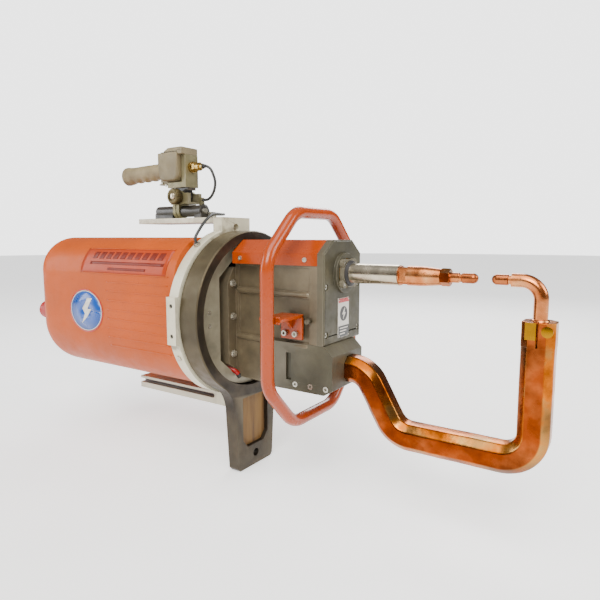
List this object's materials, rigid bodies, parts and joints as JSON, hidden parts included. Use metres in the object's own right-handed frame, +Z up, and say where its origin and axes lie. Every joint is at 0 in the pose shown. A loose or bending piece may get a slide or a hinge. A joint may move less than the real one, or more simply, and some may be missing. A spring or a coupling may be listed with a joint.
{
  "type": "spot welder",
  "caption": "Suspended C-frame spot welding gun with a built-in transformer cover, swivel hanger ring, loop handle, copper lower arm, sliding upper electrode and a tilting control handle.",
  "frame": {"origin": "centre of the hanger eye, in the mid-plane of the hanger leg", "axes": "+X forward to the electrodes, +Y to the gun's left, +Z up"},
  "size_m": [1.111, 0.332, 0.64],
  "materials": {
    "dark_casting": "blackened cast ring, machined outer band",
    "phenolic": "tan laminate",
    "bearing_steel": "polished",
    "hub_metal": "fine turned, warm grey",
    "screw_steel": "zinc plated",
    "cream_paint": "cream powder coat",
    "orange_shell": "orange satin",
    "orange_gloss": "orange gloss",
    "red_plastic": "orange red",
    "core_steel": "laminated, varnished",
    "coil_varnish": "resin soaked",
    "copper": "copper, heat tinted",
    "copper_cap": "chrome copper, dull",
    "copper_gold": "copper alloy, bright",
    "bronze": "bronze",
    "cylinder_alu": "anodised",
    "taupe_casting": "taupe casting paint",
    "plate_paint": "greenish grey paint",
    "rod_chrome": "ground chrome",
    "black_rubber": "seal rubber",
    "black_paint": "black paint",
    "yoke_metal": "greenish cream casting",
    "knob_metal": "knurled",
    "box_plastic": "taupe moulding",
    "grip_plastic": "khaki moulding",
    "gland_brass": "nickel brass",
    "cable_black": "cable jacket"
  },
  "bodies": {
    "hanger": {"hanger_ring": "dark_casting", "hanger_leg": "dark_casting", "pocket_pad": "phenolic"},
    "ball_set": {"bearing_balls": "bearing_steel"},
    "gun": {"hub_plate": "hub_metal", "hub_screws": "screw_steel", "flange_plate": "cream_paint", "flange_glands": "screw_steel", "top_plate": "cream_paint", "bottom_rail": "cream_paint", "rear_cover": "orange_shell", "rear_socket": "red_plastic", "transformer_core": "core_steel", "primary_coils": "coil_varnish", "secondary_bars": "copper", "copper_buses": "copper", "cylinder_barrel": "cylinder_alu", "cylinder_heads": "cylinder_alu", "tie_rods": "screw_steel", "body_housing": "taupe_casting", "housing_bolts": "screw_steel", "front_plate": "plate_paint", "front_screws": "screw_steel", "top_cover": "orange_gloss", "cover_screws": "screw_steel", "arm_block": "plate_paint", "side_screws": "screw_steel", "lower_arm": "copper", "arm_clamp_screw": "screw_steel", "lower_holder": "copper", "lower_cap": "copper_cap", "rod_flange": "plate_paint", "rod_flange_screws": "screw_steel", "rod_bush": "bronze", "rod_wiper": "black_rubber", "flex_shunt": "copper_gold", "loop_handle": "orange_gloss", "pivot_barrel": "black_paint", "barrel_shaft": "screw_steel", "cable_elbow": "screw_steel", "cable_fixed": "cable_black"},
    "rod": {"weld_rod": "rod_chrome", "piston": "cylinder_alu", "piston_seals": "black_rubber", "shunt_clamp": "copper", "upper_holder": "copper", "upper_nut": "copper_gold", "upper_shank": "copper", "upper_cap": "copper_cap"},
    "yoke": {"yoke_block": "yoke_metal", "tilt_pin": "screw_steel", "cable_swing": "cable_black"},
    "knob": {"clamp_knob": "knob_metal"},
    "head": {"tilt_lug": "black_paint", "handle_bracket": "yoke_metal", "switch_box": "box_plastic", "grip": "grip_plastic", "handle_gland": "gland_brass", "cable_tilt": "cable_black"},
    "trigger": {"trigger": "box_plastic"}
  },
  "joints": [
    {"name": "gun_swivel", "type": "hinge", "parent": "hanger", "child": "gun", "pos_m": [0, 0, 0.285], "axis": [1, 0, 0], "continuous": true},
    {"name": "ball_orbit", "type": "hinge", "parent": "hanger", "child": "ball_set", "pos_m": [0, 0, 0.285], "axis": [1, 0, 0], "continuous": true},
    {"name": "rod_stroke", "type": "slide", "parent": "gun", "child": "rod", "axis": [1, 0, 0], "range_m": [-0.08, 0.019], "deforming": ["flex_shunt"]},
    {"name": "yoke_swing", "type": "hinge", "parent": "gun", "child": "yoke", "pos_m": [-0.18, 0, 0.4865], "axis": [1, 0, 0], "range_deg": [-35, 35], "deforming": ["cable_swing"]},
    {"name": "knob_turn", "type": "hinge", "parent": "yoke", "child": "knob", "pos_m": [-0.171, -0.03, 0.516], "axis": [0, 1, 0], "range_deg": [-90, 90]},
    {"name": "head_tilt", "type": "hinge", "parent": "yoke", "child": "head", "pos_m": [-0.171, 0, 0.516], "axis": [0, 1, 0], "range_deg": [-20, 20], "deforming": ["cable_tilt"]},
    {"name": "trigger_pull", "type": "hinge", "parent": "head", "child": "trigger", "pos_m": [-0.224, 0, 0.547], "axis": [0, 1, 0], "range_deg": [0, 8], "stiffness_Nm_per_rad": 0.4, "springref_deg": -17.19}
  ],
  "couplings": [
    {"joint": "ball_orbit", "follows": "gun_swivel", "ratio": 0.5}
  ]
}
